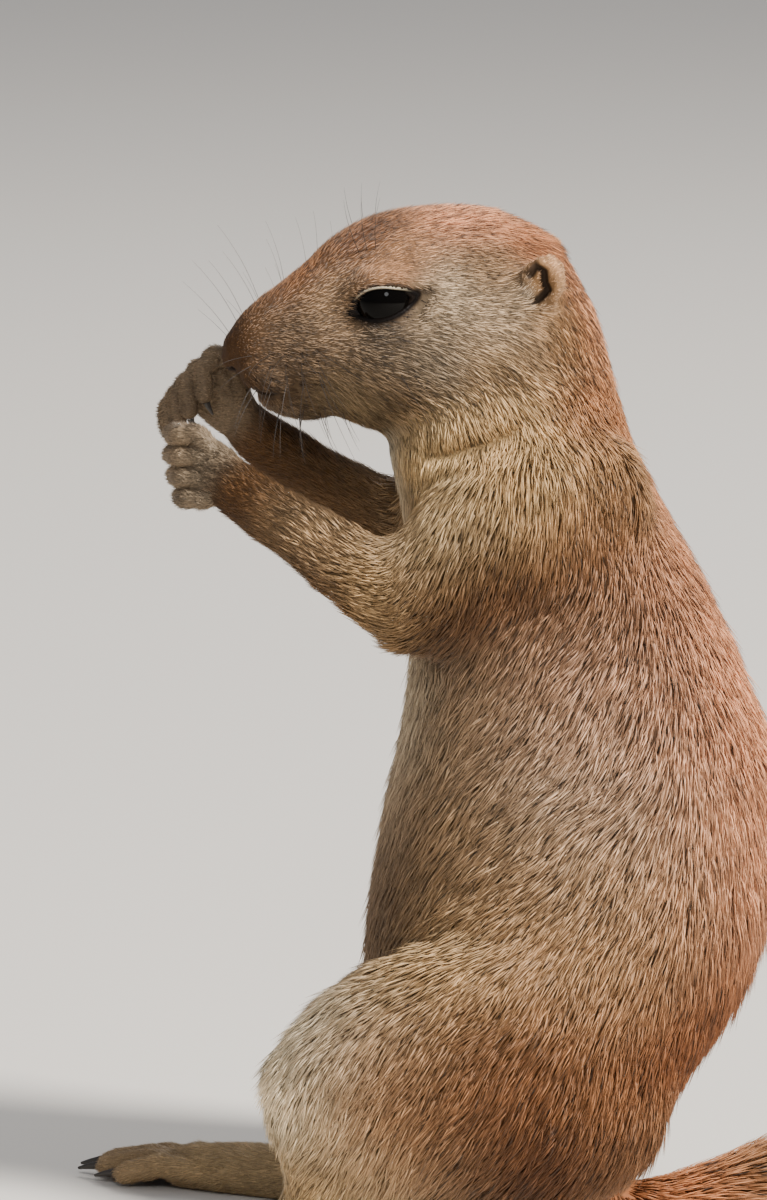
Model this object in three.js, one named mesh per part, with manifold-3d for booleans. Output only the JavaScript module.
// A prairie dog sitting up on its haunches, with its forepaws raised to its mouth.
// Millimetres, +Z up. The animal faces -Y, and its left side is +X. The sizes are those of the coat's outside.
import * as THREE from "three";
import { mergeVertices } from "three/addons/utils/BufferGeometryUtils.js";
import Module from "manifold-3d";

const wasm = await Module();
wasm.setup();

// Driving dimensions
const GAP = 0.3; // between touching pieces
const HEAD_ROLL = 2; // degrees about the head's own length: the left side stands higher
const HEAD_AXIS = [0, 0, 180]; // a point on the line it rolls about, which runs along Y
const EYE_RADIUS = 6.7;
const EYE_CENTRE = [12.4, -18.4, 188.4];
const EYE_TILT = 14; // degrees that the rear corner of the eye stands above the front one
const LID_THICKNESS = 1.1;
const EYE_OPENING = [12.8, 7.8]; // length and height between the lids
const EAR_CENTRE = [23.7, 12.4, 193];
const EAR_RADII = [3.2, 4.9, 5.6]; // out from the head, front to back, and up
const TAIL_TIP_SHARE = 0.62; // of the tail's length, where the dark tip starts
const FINGER_RADIUS = 2.2;
const TOE_RADIUS = 2.7;
const HAND_CLAW = 5.5; // length
const FOOT_CLAW = 7.5;

const vec = (x, y, z) => new THREE.Vector3(x, y, z);
const ACROSS = vec(1, 0, 0);
const SIDES = { left: 1, right: -1 };

// Manifold solids in and out of three.js geometries

function solidOf(geometry) {
  const bare = geometry.clone();
  bare.deleteAttribute("normal");
  bare.deleteAttribute("uv");
  const merged = mergeVertices(bare, 1e-4);
  return new wasm.Manifold(
    new wasm.Mesh({
      numProp: 3,
      vertProperties: merged.attributes.position.array,
      triVerts: new Uint32Array(merged.index.array),
    }),
  );
}

function geometryOf(solid) {
  const mesh = solid.getMesh();
  const geometry = new THREE.BufferGeometry();
  geometry.setAttribute("position", new THREE.BufferAttribute(mesh.vertProperties, 3));
  geometry.setIndex(new THREE.BufferAttribute(mesh.triVerts, 1));
  geometry.computeVertexNormals();
  return geometry;
}

const joined = (...solids) => solids.reduce((a, b) => a.add(b));
const trimmed = (solid, ...others) => others.reduce((a, b) => a.subtract(b), solid);
const largest = (solid) => solid.decompose().sort((a, b) => b.volume() - a.volume())[0];

// Sections and the closed solids through them

// A section of a profile: its upper and lower edge as [y, z], and its half width across.
function profileSection([topY, topZ, lowY, lowZ, halfWidth]) {
  const top = vec(0, topY, topZ);
  const low = vec(0, lowY, lowZ);
  return {
    centre: top.clone().add(low).divideScalar(2),
    wide: ACROSS.clone().multiplyScalar(halfWidth),
    high: top.clone().sub(low).divideScalar(2),
  };
}

// Sections square to a path: each station is a centre, a half width and a half height.
function pathSections(stations, across = ACROSS) {
  const centres = stations.map(([x, y, z]) => vec(x, y, z));
  return stations.map(([, , , halfWidth, halfHeight], i) => {
    const before = centres[Math.max(i - 1, 0)];
    const after = centres[Math.min(i + 1, centres.length - 1)];
    const along = after.clone().sub(before).normalize();
    const wide = across.clone().addScaledVector(along, -across.dot(along)).normalize();
    const high = wide.clone().cross(along);
    return {
      centre: centres[i],
      wide: wide.multiplyScalar(halfWidth),
      high: high.multiplyScalar(halfHeight),
    };
  });
}

const withLength = (v, added) => v.clone().setLength(v.length() + added);

// A closed solid through the sections, with domed ends. `rings` is the number of rings between two sections,
// `domes` the height of the start and end dome, `square` the fullness of the oval, and `pear` how much wider
// it is below the middle than above.
function sweep(sections, options) {
  const { sides = 18, rings = 2, domes = [4, 4], square = 2, pear = 0, grow = 0 } = options;
  const track = (name) =>
    new THREE.CatmullRomCurve3(sections.map((s) => s[name]), false, "catmullrom", 0.5);
  const tracks = { centre: track("centre"), wide: track("wide"), high: track("high") };
  const steps = (sections.length - 1) * rings;
  const sectionAt = (t) => ({
    centre: tracks.centre.getPoint(t),
    wide: withLength(tracks.wide.getPoint(t), grow),
    high: withLength(tracks.high.getPoint(t), grow),
  });
  const DOME_RINGS = 2;
  const loops = [];
  const dome = (t, height, sign) => {
    const end = sectionAt(t);
    const out = tracks.centre.getTangent(t).multiplyScalar(sign);
    return Array.from({ length: DOME_RINGS }, (_, k) => {
      const angle = ((k + 1) / (DOME_RINGS + 0.6)) * (Math.PI / 2);
      return {
        centre: end.centre.clone().addScaledVector(out, (height + grow) * Math.sin(angle)),
        wide: end.wide.clone().multiplyScalar(Math.cos(angle)),
        high: end.high.clone().multiplyScalar(Math.cos(angle)),
      };
    });
  };
  const start = dome(0, domes[0], -1).reverse();
  const end = dome(1, domes[1], 1);
  const middle = Array.from({ length: steps + 1 }, (_, i) => sectionAt(i / steps));
  for (const { centre, wide, high } of [...start, ...middle, ...end]) {
    loops.push(
      Array.from({ length: sides }, (_, k) => {
        const turn = (k / sides) * 2 * Math.PI;
        const full = (v) => Math.sign(v) * Math.abs(v) ** (2 / square);
        const up = full(Math.sin(turn));
        const out = full(Math.cos(turn)) * (1 - pear * up);
        return centre.clone().addScaledVector(wide, out).addScaledVector(high, up);
      }),
    );
  }
  const firstPole = sectionAt(0).centre.addScaledVector(tracks.centre.getTangent(0), -domes[0] - grow);
  const lastPole = sectionAt(1).centre.addScaledVector(tracks.centre.getTangent(1), domes[1] + grow);
  return closedLoops(loops, firstPole, lastPole);
}

// Joins loops of equal count, and a pole at each end, into one closed solid that faces out.
function closedLoops(loops, firstPole, lastPole) {
  const sides = loops[0].length;
  const points = [...loops.flat(), firstPole, lastPole];
  const faces = [];
  const at = (ring, k) => ring * sides + (k % sides);
  for (let ring = 0; ring + 1 < loops.length; ring++) {
    for (let k = 0; k < sides; k++) {
      faces.push(at(ring, k), at(ring, k + 1), at(ring + 1, k));
      faces.push(at(ring, k + 1), at(ring + 1, k + 1), at(ring + 1, k));
    }
  }
  const [first, last] = [points.length - 2, points.length - 1];
  for (let k = 0; k < sides; k++) {
    faces.push(first, at(0, k + 1), at(0, k));
    faces.push(last, at(loops.length - 1, k), at(loops.length - 1, k + 1));
  }
  const build = (order) => {
    const geometry = new THREE.BufferGeometry().setFromPoints(points);
    geometry.setIndex(order);
    return solidOf(geometry);
  };
  const solid = build(faces);
  return solid.volume() > 0 ? solid : build(faces.slice().reverse());
}

// An ellipsoid, turned by Euler angles in degrees.
function ellipsoid(centre, radii, { turn = [0, 0, 0], detail = 3, grow = 0 } = {}) {
  const geometry = new THREE.IcosahedronGeometry(1, detail);
  geometry.scale(...radii.map((r) => r + grow));
  geometry.applyMatrix4(
    new THREE.Matrix4().makeRotationFromEuler(new THREE.Euler(...turn.map(THREE.MathUtils.degToRad))),
  );
  geometry.translate(...centre);
  return solidOf(geometry);
}

// A block with its middle at `centre`, turned about X by `tilt` degrees.
function block(centre, size, tilt = 0) {
  const geometry = new THREE.BoxGeometry(...size);
  geometry.rotateX(THREE.MathUtils.degToRad(tilt));
  geometry.translate(...centre);
  return solidOf(geometry);
}

const mirrored = ([x, y, z], side) => [x * side, y, z];
const BELOW_FLOOR = block([0, 0, -50], [600, 600, 100]);

// Trunk: rump, belly, chest and neck as one form, as [back y, z, front y, z, half width]
const TRUNK = [
  [24, 2, -9, 2, 27],
  [30.5, 13.1, -16, 10.2, 36],
  [40.5, 27.3, -22, 25.3, 42.5],
  [52.4, 43.6, -25.2, 43.6, 46],
  [59, 58.4, -24.6, 59.7, 46.5],
  [62, 76.2, -22.4, 75.9, 45],
  [60.6, 94.2, -18, 96.1, 42],
  [54, 114.4, -14.8, 114.4, 38],
  [43.6, 136.6, -14.6, 132.7, 34],
  [34.2, 151.9, -16.6, 146.1, 31.5],
  [28.8, 164.4, -18.8, 155.5, 28.6],
  [26.2, 175.3, -17, 165.4, 25.5],
  [22, 187.1, -8, 177.2, 21],
];
const trunk = (grow = 0) =>
  sweep(TRUNK.map(profileSection), { sides: 24, rings: 2, domes: [6, 6], square: 2.15, grow }).subtract(
    BELOW_FLOOR,
  );
const WAIST = { centre: [0, 20, 94], tilt: 4 };
const COLLAR = { centre: [0, 8, 148.5], tilt: 8 };
const cut = ({ centre, tilt }) => block(centre, [200, 200, GAP], tilt);

// Head, nose to nape, as [top y, z, low y, z, half width]
const HEAD = [
  [-49.8, 180.7, -49.6, 175.4, 4.6],
  [-48, 184.4, -47.9, 173.1, 6.8],
  [-45.2, 187.7, -45.8, 170, 8.5],
  [-41, 190.8, -41.6, 167.6, 10],
  [-36, 194.7, -36, 166.4, 11.9],
  [-29, 200.4, -28.5, 164.1, 14.6],
  [-21, 204.6, -20, 160.6, 18.2],
  [-10, 206.4, -8, 157.7, 22.4],
  [2, 205.8, 3, 157.1, 25.2],
  [12, 201.8, 12, 160.1, 25.8],
  [18.6, 195, 17.4, 165.8, 23.6],
  [22, 187.6, 20.6, 170.6, 19.5],
];
const headForm = (grow = 0) =>
  sweep(HEAD.map(profileSection), { sides: 24, rings: 2, domes: [1.6, 3.5], square: 2.1, pear: 0.07, grow });

// The eye looks out, a little forward and up.
const EYE_TURN = [EYE_TILT, 8, -14];
const eyeball = (side, grow = 0) =>
  ellipsoid(mirrored(EYE_CENTRE, side), [EYE_RADIUS, EYE_RADIUS, EYE_RADIUS], { grow });

// The almond opening between the lids, as a prism that runs out from the eye's centre
function eyeOpening(side) {
  const [length, height] = EYE_OPENING;
  const almond = new THREE.Shape();
  almond.moveTo(-length / 2, 0);
  almond.quadraticCurveTo(-length * 0.12, height * 1.02, length / 2, 0);
  almond.quadraticCurveTo(length * 0.12, -height * 1.0, -length / 2, 0);
  const prism = new THREE.ExtrudeGeometry(almond, { depth: 20, bevelEnabled: false, curveSegments: 9 });
  // The outline's x runs back along +Y, its y runs up, and its depth runs out along +X.
  prism.applyMatrix4(new THREE.Matrix4().makeBasis(vec(0, 1, 0), vec(0, 0, 1), vec(1, 0, 0)));
  prism.applyMatrix4(
    new THREE.Matrix4().makeRotationFromEuler(
      new THREE.Euler(...EYE_TURN.map(THREE.MathUtils.degToRad), "ZYX"),
    ),
  );
  prism.translate(...EYE_CENTRE);
  const solid = solidOf(prism);
  return side > 0 ? solid : solid.mirror([1, 0, 0]);
}

// Lids: a shell over the eyeball, thickened into a low brow above
function lids(side, grow = 0) {
  const shell = EYE_RADIUS + GAP + LID_THICKNESS;
  return joined(
    ellipsoid(mirrored(EYE_CENTRE, side), [shell, shell, shell], { grow }),
    ellipsoid(mirrored([12.6, -17.6, 192.2], side), [5.6, 8.2, 3.6], { turn: [12, 0, 0], detail: 2, grow }),
  );
}

// Muzzle: the two whisker pads that make the upper lips, the chin below, and the nose pad
const whiskerPad = (side, grow = 0) =>
  ellipsoid(mirrored([4.6, -41, 172.9], side), [5.7, 7.6, 5.1], { turn: [-16, 0, 10 * side], detail: 2, grow });
const chin = (grow = 0) => ellipsoid([0, -36.8, 167.2], [6.6, 8, 3.7], { turn: [-8, 0, 0], grow, detail: 2 });
const nosePad = (grow = 0) => ellipsoid([0, -48.2, 176.7], [5, 3.2, 4.4], { turn: [-20, 0, 0], grow, detail: 2 });
const nostril = (side) =>
  ellipsoid(mirrored([3.4, -50.4, 175.5], side), [1.2, 2.2, 0.75], { turn: [28, 0, 30 * side], detail: 2 });
const cleft = () => block([0, -46.8, 169.9], [0.7, 6, 5], -24);

// An upright elliptical disc, tilted about X
function disc(centre, radii, height, tilt) {
  const geometry = new THREE.CylinderGeometry(1, 1, height, 28);
  geometry.rotateX(Math.PI / 2);
  geometry.scale(radii[0], radii[1], 1);
  geometry.rotateX(THREE.MathUtils.degToRad(tilt));
  geometry.translate(...centre);
  return solidOf(geometry);
}

// The line of the mouth: a thin groove under the lips, from the cleft back to each corner
const mouthLine = () =>
  trimmed(disc([0, -38.4, 168.9], [9.6, 10.2], 0.9, -8), disc([0, -36.6, 168.9], [7, 8.2], 3, -8));

// Turns a solid of the head from the level pose into the rolled one.
function rolled(solid) {
  const [x, y, z] = HEAD_AXIS;
  return solid.translate([-x, -y, -z]).rotate([0, -HEAD_ROLL, 0]).translate([x, y, z]);
}

function levelHead(grow = 0) {
  const form = joined(
    headForm(grow),
    ...Object.values(SIDES).map((side) => lids(side, grow)),
    ...Object.values(SIDES).map((side) => whiskerPad(side, grow)),
    chin(grow),
    nosePad(grow),
  );
  if (grow) return form;
  const cuts = Object.values(SIDES).flatMap((side) => [
    eyeball(side, GAP),
    eyeOpening(side),
    nostril(side),
  ]);
  return largest(trimmed(form, ...cuts, cleft(), mouthLine()));
}
const head = (grow = 0) => rolled(levelHead(grow));

// Ear: a low round cup that opens out and forward, with a fold inside
function ear(side) {
  const [x, y, z] = EAR_CENTRE;
  const [out, along, up] = EAR_RADII;
  const cup = ellipsoid(mirrored([x, y, z], side), [out, along, up], { turn: [-16, 0, -16 * side] });
  const hollow = ellipsoid(mirrored([x + 2.6, y - 1.3, z - 0.6], side), [out, along - 1.4, up - 1.5], {
    turn: [-16, 0, -16 * side],
    detail: 2,
  });
  const fold = ellipsoid(mirrored([x - 0.4, y + 1.5, z - 0.2], side), [1.6, 1.5, 3.2], {
    turn: [-16, 0, 0],
    detail: 2,
  });
  const lobe = trimmed(joined(trimmed(cup, hollow), fold), headForm(GAP));
  return largest(rolled(lobe).subtract(trunk(GAP)));
}

// Arms: shoulder to elbow, elbow to wrist, as [x, y, z, half width, half height]
const UPPER_ARM = {
  left: [
    [20, 26, 152.5, 8.5, 13],
    [23.5, 14, 149, 12.5, 17.5],
    [26, 1, 141, 12.5, 17.5],
    [27, -8, 133.3, 10.5, 14.5],
    [27, -13, 129.8, 9, 12],
  ],
  right: [
    [20, 21.5, 152, 8.5, 12],
    [23.5, 12, 149.5, 12.5, 16.8],
    [26, 1, 143.5, 12.5, 17.5],
    [26.5, -7, 137.5, 10.5, 14.5],
    [26.5, -12, 134.6, 9, 12],
  ],
};
const FOREARM = {
  left: [
    [27, -12, 129.3, 9, 11.4],
    [26.8, -20, 133.6, 8.4, 10],
    [25, -30, 140.3, 7.2, 8.2],
    [21.5, -42, 148, 6, 6.8],
    [18.5, -49.5, 152.5, 5.2, 5.8],
  ],
  right: [
    [26.5, -11, 134.1, 9, 11],
    [26, -18, 138.4, 8.4, 9.4],
    [24, -28, 144.8, 7, 8],
    [20.5, -38, 152, 5.8, 6.6],
    [17, -46.5, 158.7, 5, 5.6],
  ],
};
const limb = (table, name, options, grow) =>
  sweep(
    pathSections(table[name].map(([x, ...rest]) => [x * SIDES[name], ...rest])),
    { ...options, grow },
  );
const upperArm = (name, grow = 0) => limb(UPPER_ARM, name, { sides: 14, domes: [8, 8] }, grow);
const forearm = (name, grow = 0) => limb(FOREARM, name, { sides: 12, domes: [5, 2] }, grow);

// Hands: a palm and four curled fingers. Each finger runs through its knuckle, its two joints and its tip.
const PALM = {
  left: [
    [18.5, -49, 152.7, 5.2, 5.8],
    [17, -53, 155, 4.6, 7],
    [15.5, -56.5, 156, 3.6, 7.4],
  ],
  right: [
    [17, -46.5, 159.1, 5, 5.2],
    [15, -51, 164.2, 4.4, 6.6],
    [13.2, -54.5, 168, 3.6, 6.6],
  ],
};
// Fingers fan across the palm's height: step is the way from one finger to the next, and curl its joints
// seen from the knuckle.
const FINGERS = {
  left: {
    first: [15.4, -55.6, 162],
    step: [0.5, 0.4, -3.9],
    curl: [
      [-1.2, -4.2, -0.2],
      [-5.4, -5.4, -0.4],
      [-8.6, -2.6, -0.6],
    ],
  },
  right: {
    first: [10.6, -49.4, 173.4],
    step: [1.4, -2.6, -2.8],
    curl: [
      [-0.6, -4, 1.2],
      [-2.8, -6.6, -2],
      [-4.4, -6.2, -7],
    ],
  },
};
const FINGER_COUNT = 4;

function fingerPath(name, index) {
  const { first, step, curl } = FINGERS[name];
  const knuckle = first.map((v, axis) => v + step[axis] * index);
  const reach = [0.9, 1, 0.95, 0.8][index];
  const joints = curl.map((offset) => knuckle.map((v, axis) => v + offset[axis] * reach));
  return [knuckle, ...joints].map((p) => mirrored(p, SIDES[name]));
}

function finger(name, index, grow = 0) {
  const taper = [1.1, 1, 0.95, 0.8];
  const stations = fingerPath(name, index).map((p, i) => [
    ...p,
    FINGER_RADIUS * taper[i],
    FINGER_RADIUS * taper[i],
  ]);
  return sweep(pathSections(stations, vec(0, 0, 1)), { sides: 7, rings: 1, domes: [2, 1.4], grow });
}

function hand(name, grow = 0) {
  const fingers = Array.from({ length: FINGER_COUNT }, (_, i) => finger(name, i, grow));
  const palm = limb(PALM, name, { sides: 10, domes: [3, 3] }, grow);
  return joined(palm, ...fingers);
}

// A claw leaves the tip of its finger or toe along the last joint and bends down towards `bend`.
function claw(tip, before, length, radius, bend) {
  const out = tip.clone().sub(before).normalize();
  const root = tip.clone().addScaledVector(out, -0.4);
  const stations = [0, 0.5, 1].map((share) => {
    const p = root
      .clone()
      .addScaledVector(out, length * share)
      .addScaledVector(bend, length * 0.32 * share * share);
    const size = radius * (1 - 0.72 * share);
    return [p.x, p.y, p.z, size * 0.75, size];
  });
  return sweep(pathSections(stations), { sides: 5, rings: 1, domes: [0.3, 0.4] });
}

function handClaw(name, index) {
  const path = fingerPath(name, index).map((p) => vec(...p));
  const bend = path[0].clone().sub(path[3]).normalize();
  return claw(path[3], path[2], HAND_CLAW, 1.15, bend);
}

// Legs: the haunch from hip to knee, and the short shin under it
const THIGH = {
  left: [
    [26, 30, 36, 12, 25],
    [35, 15, 37.5, 16, 29],
    [39.5, -3, 37.5, 16.5, 29.5],
    [40.5, -18, 34.5, 15, 26.5],
    [40, -30, 28.5, 12.5, 21],
  ],
  right: [
    [26, 28, 36, 12, 24],
    [36, 14, 35, 16, 26],
    [43, -1, 31.5, 16, 24],
    [47, -14, 28, 14, 20.5],
    [48, -25, 24.5, 11.5, 16.5],
  ],
};
const SHIN = {
  left: [
    [40, -33, 17, 9.5, 12],
    [37, -24, 12, 9.5, 10],
    [31, -15, 9, 8.5, 8],
  ],
  right: [
    [45, -30, 16, 9.5, 11],
    [35, -29, 12, 9.5, 9.5],
    [23, -30, 9, 8.5, 8],
  ],
};
const thigh = (name, grow = 0) => limb(THIGH, name, { sides: 17, domes: [10, 13] }, grow);
const shin = (name, grow = 0) =>
  limb(SHIN, name, { sides: 11, domes: [5, 5] }, grow).subtract(BELOW_FLOOR);

// Feet: a long sole from heel to ball, and five toes with claws
const FOOT = {
  left: { heel: [25, -17], heading: 20, toes: [14, 17, 18, 17, 14] },
  right: { heel: [18, -33], heading: 34, toes: [14, 17, 18, 17, 14] },
};
const FOOT_STATIONS = [
  // along the sole, half width, half height
  [0, 6, 5],
  [12, 6.6, 6],
  [24, 7.4, 5.4],
  [34, 8.6, 4.6],
];
const TOE_COUNT = 5;

// A point of the foot: so far along the sole, so far out to the animal's own side, and so high.
function footPoint(name, along, outward, height) {
  const { heel, heading } = FOOT[name];
  const angle = THREE.MathUtils.degToRad(heading);
  const side = SIDES[name];
  return [
    side * (heel[0] + along * Math.sin(angle) + outward * Math.cos(angle)),
    heel[1] - along * Math.cos(angle) + outward * Math.sin(angle),
    height,
  ];
}

function footAcross(name) {
  return vec(...footPoint(name, 0, 1, 0)).sub(vec(...footPoint(name, 0, 0, 0)));
}

function sole(name, grow = 0) {
  const stations = FOOT_STATIONS.map(([along, halfWidth, halfHeight]) => [
    ...footPoint(name, along, 0, halfHeight - 0.6),
    halfWidth,
    halfHeight,
  ]);
  return sweep(pathSections(stations, footAcross(name)), { sides: 12, domes: [4, 4], square: 2.2, grow });
}

function toePath(name, index) {
  const spread = index - (TOE_COUNT - 1) / 2;
  const root = 33 - 1.4 * spread * spread;
  const reach = FOOT[name].toes[index];
  return [
    [0, 3.5, 3.6],
    [0.4, 3.9, 5.2],
    [0.78, 4.2, 3.6],
    [1, 4.4, 2.5],
  ].map(([share, gap, height]) => footPoint(name, root + reach * share, spread * gap, height));
}

function toe(name, index, grow = 0) {
  const taper = [1.05, 1, 1.02, 0.9];
  const stations = toePath(name, index).map((p, i) => [...p, TOE_RADIUS * taper[i], TOE_RADIUS * taper[i]]);
  return sweep(pathSections(stations, footAcross(name)), { sides: 7, rings: 1, domes: [2, 1.6], grow });
}

function foot(name, grow = 0) {
  const toes = Array.from({ length: TOE_COUNT }, (_, i) => toe(name, i, grow));
  return joined(sole(name, grow), ...toes).subtract(BELOW_FLOOR);
}

function footClaw(name, index) {
  const path = toePath(name, index).map((p) => vec(...p));
  const level = path[3].clone().add(vec(0, 0, 0.4));
  const before = level.clone().sub(vec(...footPoint(name, 1, 0, 0)).sub(vec(...footPoint(name, 0, 0, 0))));
  return claw(level, before, FOOT_CLAW, 1.5, vec(0, 0, -0.55)).subtract(BELOW_FLOOR);
}

// Tail: a flat brush along the floor, its dark end a little raised
const TAIL = [
  [1, 20, 5, 8, 5],
  [1, 32, 4.8, 8, 4.8],
  [0, 44, 6, 8.8, 6],
  [-3, 57, 8.6, 10.2, 8.2],
  [-9, 72, 10.6, 10.4, 8.6],
  [-17, 87, 13, 8, 7],
  [-22, 96, 14.6, 5, 4.6],
];
const tail = (grow = 0) =>
  sweep(pathSections(TAIL), { sides: 16, rings: 2, domes: [4, 5], grow }).subtract(BELOW_FLOOR);

function tailPieces() {
  const centres = new THREE.CatmullRomCurve3(TAIL.map(([x, y, z]) => vec(x, y, z)));
  const [x, y, z] = centres.getPointAt(TAIL_TIP_SHARE).toArray();
  const slab = new THREE.BoxGeometry(60, GAP, 60);
  slab.rotateZ(THREE.MathUtils.degToRad(26));
  slab.translate(x, y, z);
  const pieces = trimmed(tail(), trunk(GAP), solidOf(slab)).decompose();
  return pieces.sort((a, b) => b.volume() - a.volume()).slice(0, 2);
}

// Materials, by coat colour

const finish = (color, roughness = 0.9) =>
  new THREE.MeshStandardMaterial({ color, roughness, metalness: 0 });
const FINISHES = {
  crown: finish(0x9a6a4c),
  coat: finish(0xa8805a),
  flank: finish(0x9c7c5c),
  paleCoat: finish(0xb89c74),
  paw: finish(0x8f8270),
  tailTip: finish(0x2c221c),
  claw: finish(0x2a2622, 0.45),
  eye: finish(0x080606, 0.05),
  ear: finish(0x8c7050),
};

const prairieDog = new THREE.Group();
function place(name, solid, material) {
  const mesh = new THREE.Mesh(geometryOf(solid), material);
  mesh.name = name;
  prairieDog.add(mesh);
}

const trunkPieces = trimmed(trunk(), cut(WAIST), cut(COLLAR)).decompose();
const middleHeight = (solid) => {
  const { min, max } = solid.boundingBox();
  return (min[2] + max[2]) / 2;
};
const [belly, chest, neck] = trunkPieces.sort((a, b) => middleHeight(a) - middleHeight(b));
place("belly", belly, FINISHES.flank);
place("chest", chest, FINISHES.coat);
place("neck", largest(neck.subtract(head(GAP))), FINISHES.coat);
place("head", trimmed(head(), block([0, 40, 127], [200, 200, 40 + 2 * GAP])), FINISHES.crown);

const [tailRoot, tailTip] = tailPieces();
place("tail", tailRoot, FINISHES.coat);
place("tail_tip", tailTip, FINISHES.tailTip);

for (const [name, side] of Object.entries(SIDES)) {
  place(`eye_${name}`, rolled(eyeball(side)), FINISHES.eye);
  place(`ear_${name}`, ear(side), FINISHES.ear);
  const arm = largest(trimmed(upperArm(name), trunk(GAP), head(GAP)));
  place(`upper_arm_${name}`, arm, FINISHES.paleCoat);
  const lower = trimmed(forearm(name), upperArm(name, GAP), trunk(GAP), head(GAP));
  place(`forearm_${name}`, largest(lower), FINISHES.paleCoat);
  const paw = trimmed(hand(name), forearm(name, GAP), head(GAP));
  place(`hand_${name}`, largest(paw), FINISHES.paw);
  for (let i = 0; i < FINGER_COUNT; i++) {
    const nail = largest(trimmed(handClaw(name, i), hand(name, GAP)));
    place(`hand_claw_${name}_${i + 1}`, nail, FINISHES.claw);
  }
  place(`thigh_${name}`, largest(trimmed(thigh(name), trunk(GAP), BELOW_FLOOR)), FINISHES.coat);
  const lowerLeg = trimmed(shin(name), thigh(name, GAP), trunk(GAP));
  place(`shin_${name}`, largest(lowerLeg), FINISHES.paleCoat);
  const sole = trimmed(foot(name), shin(name, GAP), thigh(name, GAP), trunk(GAP));
  place(`foot_${name}`, largest(sole), FINISHES.paleCoat);
  for (let i = 0; i < TOE_COUNT; i++) {
    const nail = largest(trimmed(footClaw(name, i), foot(name, GAP)));
    place(`foot_claw_${name}_${i + 1}`, nail, FINISHES.claw);
  }
}

// The frame's origin is on the floor, under the middle of the whole animal.
const extent = new THREE.Box3().setFromObject(prairieDog);
const middle = extent.getCenter(vec(0, 0, 0));
prairieDog.position.set(-middle.x, -middle.y, -extent.min.z);

export default prairieDog;
